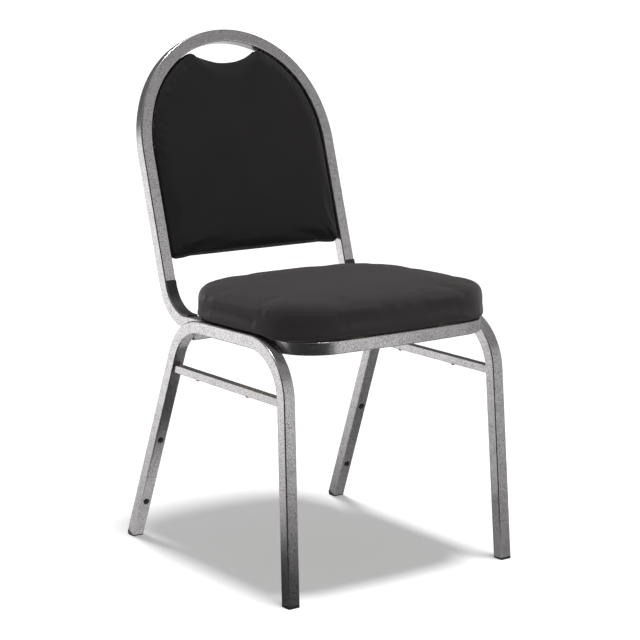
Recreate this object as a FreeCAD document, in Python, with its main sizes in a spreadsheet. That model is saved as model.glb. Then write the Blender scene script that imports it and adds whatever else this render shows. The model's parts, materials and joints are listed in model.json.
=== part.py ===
import FreeCAD, Part
import math
import os
import Sketcher

# A stackable banquet chair. Millimetres, +Z up, the floor at z = 0, the sitter faces -Y,
# x = 0 is the plane of symmetry and y = 0 is the middle of the overall depth.

DIMENSIONS = {
    # square steel tube of the frame
    "tube_side": 22.2,
    "tube_wall": 1.5,
    "tube_corner": 2.2,
    "bend_radius": 91.0,
    # leg frames: one bent tube a side, leaning in towards the seat
    "front_foot_y": -274.0,
    "rear_foot_y": 228.8,
    "front_lean": 3.75,
    "rear_lean": 21.6,
    "splay": 1.2,
    "rail_front_z": 427.9,
    "rail_rear_z": 422.6,
    "front_end_z": 3.5,
    "rear_end_z": 6.7,
    "weld_gap": 0.3,
    # back frame: a hoop whose ends bend forward under the seat
    "hoop_half_width": 208.0,
    "hoop_height": 913.6,
    "hoop_lean": 16.9,
    "hoop_rise": 219.5,
    "shoulder_radius": 229.0,
    "hoop_bend_radius": 75.0,
    # the seat frame lies in a plane that falls slightly towards the back
    "seat_tilt": 1.0,
    "arm_z": 420.15,
    "hoop_foot_y": 134.3,
    "arm_end_y": -190.0,
    # rails that close the seat frame
    "front_rail_y": -272.0,
    "front_rail_sweep": 7.6,
    "front_rail_corner": 66.0,
    "front_rail_bow": 1400.0,
    "cross_rail_y": 55.0,
    "cross_rail_z": 399.5,
    "cross_rail_side": 16.0,
    "cross_rail_half": 208.5,
    # thin side stretchers and their bumpers
    "stretcher_side": 14.0,
    "stretcher_wall": 1.2,
    "stretcher_corner": 1.2,
    "stretcher_z": 337.6,
    "bumper_head": 8.0,
    "bumper_height": 3.5,
    "bumper_stem": 4.0,
    "bumper_stem_long": 3.0,
    "bumper_front_y": -139.0,
    "bumper_rear_y": 15.0,
    "button_head": 11.0,
    "button_height": 2.5,
    "button_stem": 5.0,
    "button_stem_long": 3.8,
    "button_upper_z": 200.0,
    "button_lower_z": 75.0,
    # plastic guards on the back frame's bends
    "guard_width": 20.0,
    "guard_thick": 2.4,
    "guard_end_round": 2.5,
    "guard_straight": 8.5,
    "guard_tail": 8.0,
    # glides in the ends of the legs
    "plug_clearance": 0.3,
    "plug_length": 18.0,
    "glide_round": 1.5,
    "heel_rise": 8.0,
    "heel_run": 6.0,
    # seat
    "board_thick": 12.0,
    "board_half_width": 205.5,
    "board_front_y": -276.0,
    "board_rear_y": 95.0,
    "board_front_corner": 82.0,
    "board_rear_corner": 112.0,
    "cushion_half_width": 228.0,
    "cushion_front_y": -285.0,
    "cushion_rear_y": 107.0,
    "cushion_front_corner": 98.0,
    "cushion_rear_corner": 135.0,
    "cushion_bow": 1400.0,
    "cushion_sweep": 8.0,
    "cushion_low": 16.2,
    "cushion_high": 79.0,
    "cushion_top_round": 26.0,
    "cushion_low_round": 12.0,
    "skirt_low": 12.1,
    "skirt_overlap": 5.0,
    "skirt_margin": 1.6,
    "cloth_thick": 1.5,
    "dust_half_width": 150.0,
    "dust_front_y": -240.0,
    "dust_rear_y": 30.0,
    "dust_thick": 0.8,
    # seat mounting tabs and fasteners
    "tab_reach": 32.0,
    "tab_length": 36.0,
    "tab_thick": 3.0,
    "seat_screw_x": 170.0,
    "seat_tab_front_y": -165.0,
    "seat_tab_rear_y": 15.0,
    "screw_shank": 6.0,
    "screw_head": 12.0,
    "screw_head_high": 3.5,
    "screw_long": 13.0,
    "washer_side": 14.0,
    "washer_thick": 1.2,
    "nut_barrel": 8.0,
    "nut_flange": 19.0,
    "nut_flange_high": 1.4,
    "nut_long": 9.0,
    "hole_play": 0.3,
    # back pad, measured in the plane of the hoop
    "pad_gap": 0.6,
    "pad_bottom": 104.0,
    "pad_corner": 9.0,
    "scoop_low": 454.5,
    "scoop_radius": 127.0,
    "pad_cover_back": -2.1,
    "pad_cover_front": 13.2,
    "pad_front_round": 8.0,
    "back_cloth": 1.0,
    "back_board_back": -2.2,
    "back_board_thick": 9.0,
    "back_board_inset": 5.0,
    "rear_panel_back": -9.2,
    "rear_panel_thick": 2.6,
    "rear_panel_inset": 1.0,
    "back_tab_reach": 26.0,
    "back_tab_length": 30.0,
    "back_tab_thick": 2.0,
    "back_screw_x": 172.0,
    "back_tab_upper": 306.0,
    "back_tab_lower": 156.0,
    "back_screw_shank": 5.0,
    "back_screw_head": 10.0,
    "back_screw_head_high": 2.2,
    "back_screw_long": 9.0,
}

doc = FreeCAD.newDocument("stacking_chair")
sheet = doc.addObject("Spreadsheet::Sheet", "Dims")
for row, (name, number) in enumerate(DIMENSIONS.items(), start=1):
    sheet.set("A%d" % row, name)
    sheet.set("B%d" % row, str(number))
    sheet.setAlias("B%d" % row, name)
doc.recompute()

Vector = FreeCAD.Vector
X_AXIS = Vector(1, 0, 0)
Y_AXIS = Vector(0, 1, 0)
Z_AXIS = Vector(0, 0, 1)
SIDES = {"left": -1, "right": 1}


def size(alias):
    """The number that the sheet holds under an alias."""
    return float(getattr(sheet, alias))


def frame(origin, x_dir, normal):
    """A placement whose local x and z axes are the two given directions."""
    y_dir = normal.cross(x_dir)
    return FreeCAD.Placement(origin, FreeCAD.Rotation(x_dir, y_dir, normal, "ZXY"))


def level(z, x=0.0, y=0.0):
    """A horizontal sketch plane at height z, with its origin over (x, y)."""
    return frame(Vector(x, y, z), X_AXIS, Z_AXIS)


def seat_plane(lift=0.0, x=0.0, y=0.0):
    """The tilted plane of the seat frame's centre line, or one lifted square off it."""
    tilt = math.radians(size("seat_tilt"))
    middle = Vector(0, 0, size("arm_z"))
    plane = frame(middle, X_AXIS, Vector(0, math.sin(tilt), math.cos(tilt)))
    return plane.multiply(FreeCAD.Placement(Vector(x, y, lift), FreeCAD.Rotation()))


# ---------------------------------------------------------------- document helpers

def new_body(label):
    body = doc.addObject("PartDesign::Body", label)
    body.Label = label
    return body


def origin_plane(body, role):
    return next(item for item in body.Origin.OriginFeatures if item.Role == role)


def new_sketch(body, name, placement):
    """A sketch attached to the body's own XY plane, moved to a placement."""
    sketch = body.newObject("Sketcher::SketchObject", name)
    sketch.AttachmentSupport = [(origin_plane(body, "XY_Plane"), "")]
    sketch.MapMode = "FlatFace"
    sketch.AttachmentOffset = placement
    return sketch


def bind(owner, prop, formula):
    """Ties a property to the sheet. A bare alias may stand for Dims.alias."""
    text = formula if "Dims." in formula else "Dims." + formula
    owner.setExpression(prop, text)


def constrain(sketch, name, constraint, formula):
    """Adds a named size constraint and ties it to the sheet."""
    index = sketch.addConstraint(constraint)
    sketch.renameConstraint(index, name)
    bind(sketch, "Constraints." + name, formula)


def draw_circle(sketch, formula, number, name="across"):
    circle = sketch.addGeometry(Part.Circle(Vector(0, 0, 0), Z_AXIS, number / 2), False)
    sketch.addConstraint(Sketcher.Constraint("Coincident", circle, 3, -1, 1))
    constrain(sketch, name, Sketcher.Constraint("Diameter", circle, number), formula)


def draw_rectangle(sketch, wide, tall, wide_number, tall_number):
    """A rectangle centred on the sketch's origin."""
    x, y = wide_number / 2, tall_number / 2
    corners = [Vector(-x, -y, 0), Vector(x, -y, 0), Vector(x, y, 0), Vector(-x, y, 0)]
    lines = [sketch.addGeometry(Part.LineSegment(corners[i], corners[(i + 1) % 4]), False)
             for i in range(4)]
    for i in range(4):
        sketch.addConstraint(Sketcher.Constraint("Coincident", lines[i], 2, lines[(i + 1) % 4], 1))
    for i in range(4):
        kind = "Horizontal" if i % 2 == 0 else "Vertical"
        sketch.addConstraint(Sketcher.Constraint(kind, lines[i]))
    sketch.addConstraint(Sketcher.Constraint("Symmetric", lines[0], 1, lines[2], 1, -1, 1))
    constrain(sketch, "wide", Sketcher.Constraint("DistanceX", lines[0], 1, lines[0], 2, wide_number),
              wide)
    constrain(sketch, "tall", Sketcher.Constraint("DistanceY", lines[1], 1, lines[1], 2, tall_number),
              tall)


def draw_round_square(sketch, tag, side, corner, side_number, corner_number):
    """A square with round corners, centred on the sketch's origin."""
    half, r = side_number / 2, corner_number
    lines, arcs = [], []
    for i in range(4):
        turn = FreeCAD.Rotation(Z_AXIS, 90 * i)
        begin = turn.multVec(Vector(-half + r, -half, 0))
        end = turn.multVec(Vector(half - r, -half, 0))
        centre = turn.multVec(Vector(half - r, -half + r, 0))
        start_angle = math.radians(90 * i - 90)
        circle = Part.Circle(centre, Z_AXIS, r)
        arc = Part.ArcOfCircle(circle, start_angle, start_angle + math.pi / 2)
        lines.append(sketch.addGeometry(Part.LineSegment(begin, end), False))
        arcs.append(sketch.addGeometry(arc, False))
    for i in range(4):
        sketch.addConstraint(Sketcher.Constraint("Tangent", lines[i], 2, arcs[i], 1))
        sketch.addConstraint(Sketcher.Constraint("Tangent", arcs[i], 2, lines[(i + 1) % 4], 1))
        kind = "Horizontal" if i % 2 == 0 else "Vertical"
        sketch.addConstraint(Sketcher.Constraint(kind, lines[i]))
    for arc in arcs[1:]:
        sketch.addConstraint(Sketcher.Constraint("Equal", arcs[0], arc))
    sketch.addConstraint(Sketcher.Constraint("Symmetric", lines[0], 1, lines[2], 1, -1, 1))
    constrain(sketch, tag + "_round", Sketcher.Constraint("Radius", arcs[0], r), corner)
    constrain(sketch, tag + "_wide",
              Sketcher.Constraint("DistanceX", lines[3], 1, lines[1], 1, side_number), side)
    constrain(sketch, tag + "_tall",
              Sketcher.Constraint("DistanceY", lines[0], 1, lines[2], 1, side_number), side)


def draw_tube_section(sketch, side="tube_side", wall="tube_wall", corner="tube_corner"):
    """The section of a square tube: its outside and its bore."""
    outside, thick, radius = size(side), size(wall), size(corner)
    draw_round_square(sketch, "outer", side, corner, outside, radius)
    bore, bore_round = "Dims.%s - 2 * Dims.%s" % (side, wall), "Dims.%s - Dims.%s" % (corner, wall)
    draw_round_square(sketch, "inner", bore, bore_round, outside - 2 * thick, radius - thick)


def rounded_path(points, radii, closed=False):
    """Straight runs through 2-D points, joined by tangent arcs of the given radii."""
    spots = [Vector(p[0], p[1], 0) for p in points]
    count = len(spots)
    turns = range(count) if closed else range(1, count - 1)
    cut = {}
    for i in turns:
        before = (spots[i - 1] - spots[i]).normalize()
        after = (spots[(i + 1) % count] - spots[i]).normalize()
        half = before.getAngle(after) / 2
        reach = radii[i] / math.tan(half)
        middle = (before + after).normalize() * (radii[i] / math.sin(half) - radii[i])
        cut[i] = (spots[i] + before * reach, spots[i] + middle, spots[i] + after * reach)
    pieces = []
    for i in range(count if closed else count - 1):
        begin = cut[i][2] if i in cut else spots[i]
        finish = (i + 1) % count
        end = cut[finish][0] if finish in cut else spots[finish]
        if (end - begin).Length > 1e-6:
            pieces.append(Part.LineSegment(begin, end))
        if finish in cut:
            pieces.append(Part.Arc(*cut[finish]))
    return pieces


def draw(sketch, pieces):
    """Adds a chain of curves and joins their ends."""
    first = sketch.GeometryCount
    sketch.addGeometry(pieces, False)
    for i in range(first, first + len(pieces) - 1):
        here, there = sketch.getPoint(i, 2), sketch.getPoint(i + 1, 1)
        if here.distanceToPoint(there) < 1e-4:
            sketch.addConstraint(Sketcher.Constraint("Coincident", i, 2, i + 1, 1))


def pad(body, sketch, length, reverse=False, midplane=False):
    feature = body.newObject("PartDesign::Pad", "Pad")
    feature.Profile = sketch
    bind(feature, "Length", length)
    feature.Reversed = reverse
    feature.Midplane = midplane
    return feature


def pocket_through(body, sketch, reverse=False, midplane=False):
    feature = body.newObject("PartDesign::Pocket", "Pocket")
    feature.Profile = sketch
    feature.Type = "ThroughAll"
    feature.Reversed = reverse
    feature.Midplane = midplane
    return feature


def pocket(body, sketch, length, reverse=False):
    feature = body.newObject("PartDesign::Pocket", "Pocket")
    feature.Profile = sketch
    bind(feature, "Length", length)
    feature.Reversed = reverse
    return feature


def pipe(body, section, path):
    """A section swept along every edge of a path sketch."""
    feature = body.newObject("PartDesign::AdditivePipe", "Pipe")
    feature.Profile = section
    feature.Spine = (path, ["Edge%d" % (i + 1) for i in range(path.GeometryCount)])
    feature.Mode = "Standard"
    return feature


def closed_polygon(points):
    spots = [Vector(p[0], p[1], 0) for p in points]
    return [Part.LineSegment(spots[i], spots[(i + 1) % len(spots)]) for i in range(len(spots))]


def revolve(body, points, placement):
    """A turned piece: a closed outline of (radius, along) points about the local y axis."""
    sketch = new_sketch(body, "Profile", placement)
    draw(sketch, closed_polygon(points))
    feature = body.newObject("PartDesign::Revolution", "Revolution")
    feature.Profile = sketch
    feature.ReferenceAxis = (sketch, ["V_Axis"])
    feature.Angle = 360.0
    return feature


def edges_where(body, test):
    """The names of a body's edges whose middle and ends all pass a test."""
    names = []
    for i, edge in enumerate(body.Shape.Edges, start=1):
        low, high = edge.ParameterRange
        spots = [edge.valueAt(low), edge.valueAt((low + high) / 2), edge.valueAt(high)]
        if all(test(spot) for spot in spots):
            names.append("Edge%d" % i)
    return names


def fillet(body, test, radius):
    doc.recompute()
    tip = body.Tip
    names = edges_where(tip, test)
    feature = body.newObject("PartDesign::Fillet", "Fillet")
    feature.Base = (tip, names)
    bind(feature, "Radius", radius)
    return feature


# ---------------------------------------------------------------- leg frames

def leg_plane(side):
    """The leaning plane of one leg frame: local x is depth, local y runs up the splayed leg."""
    splay = math.radians(size("splay"))
    foot_x = size("hoop_half_width") + size("weld_gap") + size("tube_side") / 2
    foot_x += size("rail_front_z") * math.tan(splay)
    normal = Vector(math.cos(splay), 0, side * math.sin(splay))
    return frame(Vector(side * foot_x, 0, 0), Y_AXIS, normal)


def leg_line(end):
    """Foot point and upward direction of a front or rear leg, in its leg plane."""
    lean = math.radians(size(end + "_lean"))
    way = 1 if end == "front" else -1
    foot = Vector(size(end + "_foot_y"), 0, 0)
    return foot, Vector(way * math.sin(lean), math.cos(lean), 0)


def leg_point(end, z):
    """The point of a leg's centre line at height z, in its leg plane."""
    foot, up = leg_line(end)
    return foot + up * (z / math.cos(math.radians(size("splay"))) / up.y)


def leg_frame(name, side):
    """One square tube bent into an inverted U: front leg, side rail and rear leg."""
    body = new_body("leg_frame_" + name)
    plane = leg_plane(side)
    points = [leg_point("front", size("front_end_z")), leg_point("front", size("rail_front_z")),
              leg_point("rear", size("rail_rear_z")), leg_point("rear", size("rear_end_z"))]
    path = new_sketch(body, "Path", plane)
    draw(path, rounded_path(points, [size("bend_radius")] * 4))
    section = new_sketch(body, "Section", leg_section_place(side, "front"))
    draw_tube_section(section)
    pipe(body, section, path)
    for z in ("button_upper_z", "button_lower_z"):
        hole = new_sketch(body, "ButtonHole", button_place(side, size(z)))
        draw_circle(hole, "Dims.button_stem + Dims.hole_play",
                    size("button_stem") + size("hole_play"))
        pocket(body, hole, "2 * Dims.tube_wall")
    return body


def leg_section_place(side, end):
    """The square end of a leg's tube: local z points up along the leg."""
    plane = leg_plane(side)
    up = leg_line(end)[1]
    origin = plane.multVec(leg_point(end, size(end + "_end_z")))
    return frame(origin, plane.Rotation.multVec(Z_AXIS), plane.Rotation.multVec(up))


def button_place(side, z):
    """A spot on the front face of a rear leg: local z points out of the face."""
    plane = leg_plane(side)
    up = leg_line("rear")[1]
    out = Vector(-up.y, up.x, 0)
    spot = leg_point("rear", z) + out * (size("tube_side") / 2)
    return frame(plane.multVec(spot), plane.Rotation.multVec(Z_AXIS), plane.Rotation.multVec(out))


def leg_bumper(name, side, z):
    """A round rubber button pushed into a rear leg, where the next chair's leg lands."""
    body = new_body(name)
    place = button_place(side, z)
    head, stem = size("button_head") / 2, size("button_stem") / 2
    high, deep = size("button_height"), size("button_stem_long")
    outline = [(0, -deep), (stem, -deep), (stem, 0), (head, 0), (head, high / 2),
               (0.7 * head, high), (0, high)]
    turned = FreeCAD.Placement(Vector(0, 0, 0), FreeCAD.Rotation(X_AXIS, 90))
    revolve(body, outline, place.multiply(turned))
    return body


def foot_glide(name, side, end):
    """A black plastic plug in the end of a leg, with a flat face that meets the floor."""
    body = new_body(name)
    place = leg_section_place(side, end)
    foot = new_sketch(body, "Foot", place)
    draw_round_square(foot, "foot", "tube_side", "tube_corner", size("tube_side"),
                      size("tube_corner"))
    pad(body, foot, "tube_side", reverse=True)
    plug_side = size("tube_side") - 2 * size("tube_wall") - size("plug_clearance")
    plug = new_sketch(body, "Plug", place)
    draw_rectangle(plug, "Dims.tube_side - 2 * Dims.tube_wall - Dims.plug_clearance",
                   "Dims.tube_side - 2 * Dims.tube_wall - Dims.plug_clearance",
                   plug_side, plug_side)
    pad(body, plug, "plug_length")
    fillet(body, lambda spot: on_plug_edge(place, spot, plug_side / 2), "glide_round")
    floor = new_sketch(body, "Floor", level(0, place.Base.x, place.Base.y))
    draw_rectangle(floor, "6 * Dims.tube_side", "6 * Dims.tube_side",
                   6 * size("tube_side"), 6 * size("tube_side"))
    pocket_through(body, floor)
    if end == "rear":
        cut_heel(body, side)
    return body


def cut_heel(body, side):
    """Bevels the back edge of a rear glide, which trails when the chair is slid."""
    up = leg_line("rear")[1]
    heel = Vector(size("rear_foot_y") + size("tube_side") / 2 / up.y, 0, 0)
    high, low = heel + up * size("heel_rise"), heel - Vector(size("heel_run"), 0, 0)
    slope = low - high
    outside = heel * 2 - (high + low) * 0.5
    bevel = new_sketch(body, "Heel", leg_plane(side))
    draw(bevel, closed_polygon([high - slope * 0.5, low + slope * 0.5, outside]))
    pocket_through(body, bevel, midplane=True)


def on_plug_edge(place, spot, half):
    """True on the four long edges of a plug."""
    local = place.inverse().multVec(spot)
    near = abs(abs(local.x) - half) < 0.01 and abs(abs(local.y) - half) < 0.01
    return near and local.z > -0.01


# ---------------------------------------------------------------- back frame

def hoop_foot():
    """Where the upright's centre line would meet the arm's, in the plane of symmetry."""
    return seat_plane(0, 0, size("hoop_foot_y")).Base


def hoop_plane(lift=0.0):
    """The leaning plane of the hoop's centre line. Local y runs up it, local z faces forward."""
    lean = math.radians(size("hoop_lean"))
    normal = Vector(0, -math.cos(lean), math.sin(lean))
    return frame(hoop_foot() + normal * lift, X_AXIS, normal)


def hoop_half():
    """Half the width of the hoop's centre line."""
    return size("hoop_half_width") - size("tube_side") / 2


def hoop_top():
    """Heights along the hoop's plane of the centre line's top and of the arch's spring."""
    lean = math.radians(size("hoop_lean"))
    half = size("tube_side") / 2
    top = (size("hoop_height") - hoop_foot().z - half * math.sin(lean)) / math.cos(lean)
    return top - half, top - size("hoop_rise")


def bend_reach(radius):
    """How far a lower bend of this radius reaches along the upright and along the arm."""
    turn = math.radians(90 - size("hoop_lean") + size("seat_tilt"))
    return radius * math.tan(turn / 2)


def arch(inset):
    """A three-centred arch that lies inset inside the hoop's centre line.

    Gives the shoulder circle's centre and radius, the crown circle's, and where they meet.
    """
    top, spring = hoop_top()
    rise = top - spring
    shoulder = size("shoulder_radius")
    offset = shoulder - hoop_half()
    crown = (shoulder ** 2 - offset ** 2 - rise ** 2) / (2 * (shoulder - rise))
    shoulder_centre = Vector(-offset, spring, 0)
    crown_centre = Vector(0, top - crown, 0)
    meet = (crown_centre - shoulder_centre).normalize()
    joint = shoulder_centre + meet * (shoulder - inset)
    return shoulder_centre, shoulder - inset, crown_centre, crown - inset, joint


def arc_about(centre, begin, end):
    """The shorter arc from begin to end about a centre."""
    radius = (begin - centre).Length
    middle = ((begin - centre) + (end - centre)).normalize() * radius + centre
    return Part.Arc(begin, middle, end)


def mirror_x(point):
    return Vector(-point.x, point.y, point.z)


def back_frame():
    """The hoop tube: arch and uprights in one plane, then both ends bend forward as arms."""
    body = new_body("back_frame")
    half, (top, spring) = hoop_half(), hoop_top()
    shoulder_centre, _, _, _, joint = arch(0)
    low, high = Vector(half, bend_reach(size("hoop_bend_radius")), 0), Vector(half, spring, 0)
    apex = Vector(0, top, 0)
    path = new_sketch(body, "HoopPath", hoop_plane())
    draw(path, [Part.LineSegment(mirror_x(low), mirror_x(high)),
                arc_about(mirror_x(shoulder_centre), mirror_x(high), mirror_x(joint)),
                Part.Arc(mirror_x(joint), apex, joint),
                arc_about(shoulder_centre, joint, high),
                Part.LineSegment(high, low)])
    section = new_sketch(body, "HoopSection", upright_end(-1))
    draw_tube_section(section)
    pipe(body, section, path)
    for side in SIDES.values():
        arm_path = new_sketch(body, "ArmPath", side_plane(side * half))
        start = side_view(hoop_plane().multVec(low))
        corner = side_view(hoop_foot())
        finish = side_view(seat_plane(0, 0, size("arm_end_y")).Base)
        draw(arm_path, rounded_path([start, corner, finish], [size("hoop_bend_radius")] * 3))
        arm_section = new_sketch(body, "ArmSection", upright_end(side))
        draw_tube_section(arm_section)
        pipe(body, arm_section, arm_path)
    return body


def side_plane(x):
    """An upright plane across x: local x is depth, local y is height."""
    return frame(Vector(x, 0, 0), Y_AXIS, X_AXIS)


def side_view(point):
    """A point's depth and height."""
    return Vector(point.y, point.z, 0)


def upright_end(side):
    """The square section at the top of a lower bend: local z points up the upright."""
    plane = hoop_plane()
    spot = Vector(side * hoop_half(), bend_reach(size("hoop_bend_radius")), 0)
    return frame(plane.multVec(spot), X_AXIS, plane.Rotation.multVec(Y_AXIS))


def bend_guard(name, side):
    """A black plastic strip on the front of a back bend, where a stacked chair would rub."""
    body = new_body("bend_guard_" + name)
    half = hoop_half()
    lift = (size("tube_side") + size("guard_thick")) / 2
    radius = size("hoop_bend_radius") - lift
    hoop, seat = hoop_plane(lift), seat_plane(lift)
    tangent = side_view(hoop.multVec(Vector(0, bend_reach(size("hoop_bend_radius")), 0)))
    along = side_view(hoop.Rotation.multVec(Y_AXIS))
    forward = side_view(seat.Rotation.multVec(-Y_AXIS))
    start = tangent + along * size("guard_straight")
    corner = tangent - along * bend_reach(radius)
    finish = corner + forward * (bend_reach(radius) + size("guard_tail"))
    place = side_plane(side * half)
    path = new_sketch(body, "Path", place)
    draw(path, rounded_path([start, corner, finish], [radius] * 3))
    top = frame(place.multVec(start), X_AXIS, place.Rotation.multVec(along))
    section = new_sketch(body, "Section", top)
    draw_rectangle(section, "guard_width", "guard_thick", size("guard_width"), size("guard_thick"))
    pipe(body, section, path)
    round_guard(body, top)
    return body


def round_guard(body, top):
    """Rounds the two corners of a guard's top end."""
    half = size("guard_width") / 2

    def at_corner(spot):
        local = top.inverse().multVec(spot)
        return abs(abs(local.x) - half) < 0.01 and abs(local.z) < 0.01
    fillet(body, at_corner, "guard_end_round")


# ---------------------------------------------------------------- seat frame rails

def seat_front_rail():
    """The bent tube round the front of the seat. Its ends meet the hoop's arms."""
    body = new_body("seat_front_rail")
    half = hoop_half()
    apex_y, corner_y = size("front_rail_y"), size("front_rail_y") + size("front_rail_sweep")
    gap = size("weld_gap") / 3
    points = [(-half, size("arm_end_y") - gap), (-half, corner_y), (0, apex_y),
              (half, corner_y), (half, size("arm_end_y") - gap)]
    corner, bow = size("front_rail_corner"), size("front_rail_bow")
    path = new_sketch(body, "Path", seat_plane())
    draw(path, rounded_path(points, [corner, corner, bow, corner, corner]))
    start = seat_plane(0, *points[0])
    section = new_sketch(body, "Section",
                         frame(start.Base, X_AXIS, start.Rotation.multVec(-Y_AXIS)))
    draw_tube_section(section)
    pipe(body, section, path)
    return body


def rear_cross_rail():
    """A straight, slimmer tube between the leg frames, under the hoop's arms."""
    body = new_body("rear_cross_rail")
    middle = Vector(0, size("cross_rail_y"), size("cross_rail_z"))
    section = new_sketch(body, "Section", frame(middle, Y_AXIS, X_AXIS))
    draw_tube_section(section, side="cross_rail_side")
    pad(body, section, "2 * Dims.cross_rail_half", midplane=True)
    return body


def stretcher_x():
    splay = math.radians(size("splay"))
    rail_x = size("hoop_half_width") + size("weld_gap") + size("tube_side") / 2
    return rail_x + (size("rail_front_z") - size("stretcher_z")) * math.tan(splay)


def side_stretcher(name, side):
    """A thin square tube between a front and a rear leg, with ends cut to the legs' lean."""
    body = new_body("side_stretcher_" + name)
    half, z = size("stretcher_side") / 2, size("stretcher_z")
    gap = size("weld_gap") / 2
    corners = []
    for end, way, reach in (("front", 1, (-half, half)), ("rear", -1, (half, -half))):
        face = size("tube_side") / 2 / math.cos(math.radians(size(end + "_lean"))) + gap
        for step in reach:
            corners.append((leg_point(end, z + step).x + way * face, z + step))
    outline = new_sketch(body, "Outline", frame(Vector(side * stretcher_x(), 0, 0), Y_AXIS, X_AXIS))
    draw(outline, closed_polygon(corners))
    pad(body, outline, "stretcher_side", midplane=True)
    fillet(body, lambda spot: on_stretcher_edge(spot, side), "stretcher_corner")
    middle = Vector(side * stretcher_x(), (corners[0][0] + corners[2][0]) / 2, z)
    bore = new_sketch(body, "Bore", frame(middle, X_AXIS, Y_AXIS))
    inside = size("stretcher_side") - 2 * size("stretcher_wall")
    draw_rectangle(bore, "Dims.stretcher_side - 2 * Dims.stretcher_wall",
                   "Dims.stretcher_side - 2 * Dims.stretcher_wall", inside, inside)
    pocket_through(body, bore, midplane=True)
    for y in ("bumper_front_y", "bumper_rear_y"):
        hole = new_sketch(body, "BumperHole",
                          level(z - half, side * stretcher_x(), size(y)))
        draw_circle(hole, "Dims.bumper_stem + Dims.hole_play",
                    size("bumper_stem") + size("hole_play"))
        pocket(body, hole, "2 * Dims.stretcher_wall", reverse=True)
    return body


def on_stretcher_edge(spot, side):
    """True on the four long edges of a stretcher."""
    half = size("stretcher_side") / 2
    across = abs(abs(spot.x - side * stretcher_x()) - half) < 0.01
    return across and abs(abs(spot.z - size("stretcher_z")) - half) < 0.01


def stretcher_bumper(name, side, y):
    """A rubber stacking bumper pushed into the underside of a stretcher."""
    body = new_body(name)
    head, stem = size("bumper_head") / 2, size("bumper_stem") / 2
    high, deep = size("bumper_height"), size("bumper_stem_long")
    outline = [(0, deep), (stem, deep), (stem, 0), (head, 0), (head, -0.4 * high),
               (0.6 * head, -high), (0, -high)]
    low = size("stretcher_z") - size("stretcher_side") / 2
    revolve(body, outline, frame(Vector(side * stretcher_x(), y, low), X_AXIS, -Y_AXIS))
    return body


# ---------------------------------------------------------------- seat

def board_low():
    """The seat board's lift: it lies on top of the hoop's arms and the front rail."""
    return size("tube_side") / 2


def seat_outline(kind, sweep, inset=0.0):
    """The plan of the board or the cushion: a bowed front and large rear corners."""
    half = size(kind + "_half_width") - inset
    front, rear = size(kind + "_front_y") + inset, size(kind + "_rear_y") - inset
    front_corner = size(kind + "_front_corner") - inset
    rear_corner = size(kind + "_rear_corner") - inset
    points = [(-half, front + sweep), (0, front), (half, front + sweep), (half, rear), (-half, rear)]
    radii = [front_corner, size("cushion_bow"), front_corner, rear_corner, rear_corner]
    return rounded_path(points, radii, closed=True)


def block(label, outline, place, length):
    """An outline padded along the local z axis."""
    body = new_body(label)
    sketch = new_sketch(body, "Outline", place)
    draw(sketch, outline)
    pad(body, sketch, length)
    return body


def round_rim(body, place, height, radius):
    """Rounds every edge that lies at one height above a placement."""
    back = place.inverse()
    fillet(body, lambda spot: abs(back.multVec(spot).z - height) < 0.01, radius)


def subtract(label, base, tools):
    """A piece with the room of its neighbours cut out of it."""
    result = base
    for index, tool in enumerate(tools, start=1):
        cut = doc.addObject("Part::Cut", "%s_cut_%d" % (label, index))
        cut.Base = result
        cut.Tool = tool
        result = cut
    result.Label = label
    return result


def seat_spots():
    """Where the seat's four tabs are fastened, front pair first."""
    return [(side * size("seat_screw_x"), size(y))
            for y in ("seat_tab_front_y", "seat_tab_rear_y") for side in (-1, 1)]


def seat_board():
    """The plywood base of the seat, drilled for its four tee nuts."""
    board = block("seat_board", seat_outline("board", size("cushion_sweep")),
                  seat_plane(board_low()), "board_thick")
    top = board_low() + size("board_thick")
    for x, y in seat_spots():
        drill_for_nut(board, seat_plane(top, x, y))
    return board


def drill_for_nut(body, place):
    """A through hole and a sunk seat for a tee nut. The placement faces out of the board."""
    hole = new_sketch(body, "NutHole", place)
    draw_circle(hole, "Dims.nut_barrel + Dims.hole_play", size("nut_barrel") + size("hole_play"))
    pocket_through(body, hole)
    seat = new_sketch(body, "NutSeat", place)
    draw_circle(seat, "Dims.nut_flange + Dims.hole_play", size("nut_flange") + size("hole_play"))
    pocket(body, seat, "nut_flange_high")


def cushion_block(label, inset):
    """The outside of the cushion, or the foam's outside when inset by the cloth."""
    low = seat_plane(size("cushion_low") + inset)
    outline = seat_outline("cushion", size("cushion_sweep"), inset)
    room = "Dims.cushion_high - Dims.cushion_low"
    rounds = ("Dims.cushion_top_round", "Dims.cushion_low_round")
    if inset > 0:
        room = room + " - 2 * Dims.cloth_thick"
        rounds = tuple(name + " - Dims.cloth_thick" for name in rounds)
    body = block(label, outline, low, room)
    height = size("cushion_high") - size("cushion_low") - 2 * inset
    round_rim(body, low, height, rounds[0])
    round_rim(body, low, 0, rounds[1])
    return body


def seat_cushion():
    """Foam on the board, and the sewn cover over the foam and down to the front rail."""
    foam_block = cushion_block("foam_block", size("cloth_thick"))
    foam = subtract("seat_foam", foam_block, [board_room()])
    outside = cushion_block("cushion_block", 0.0)
    skirt = block("skirt_block", seat_outline("board", size("cushion_sweep"), -size("skirt_margin")),
                  seat_plane(size("skirt_low")),
                  "Dims.cushion_low + Dims.skirt_overlap - Dims.skirt_low")
    whole = doc.addObject("Part::Fuse", "cover_block")
    whole.Base = outside
    whole.Tool = skirt
    cover = subtract("seat_cover", whole, [foam_block, board_room()])
    return foam, cover


def board_room():
    """The undrilled shape of the board, which the soft pieces are cut around."""
    return block("board_room", seat_outline("board", size("cushion_sweep")),
                 seat_plane(board_low()), "board_thick")


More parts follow.
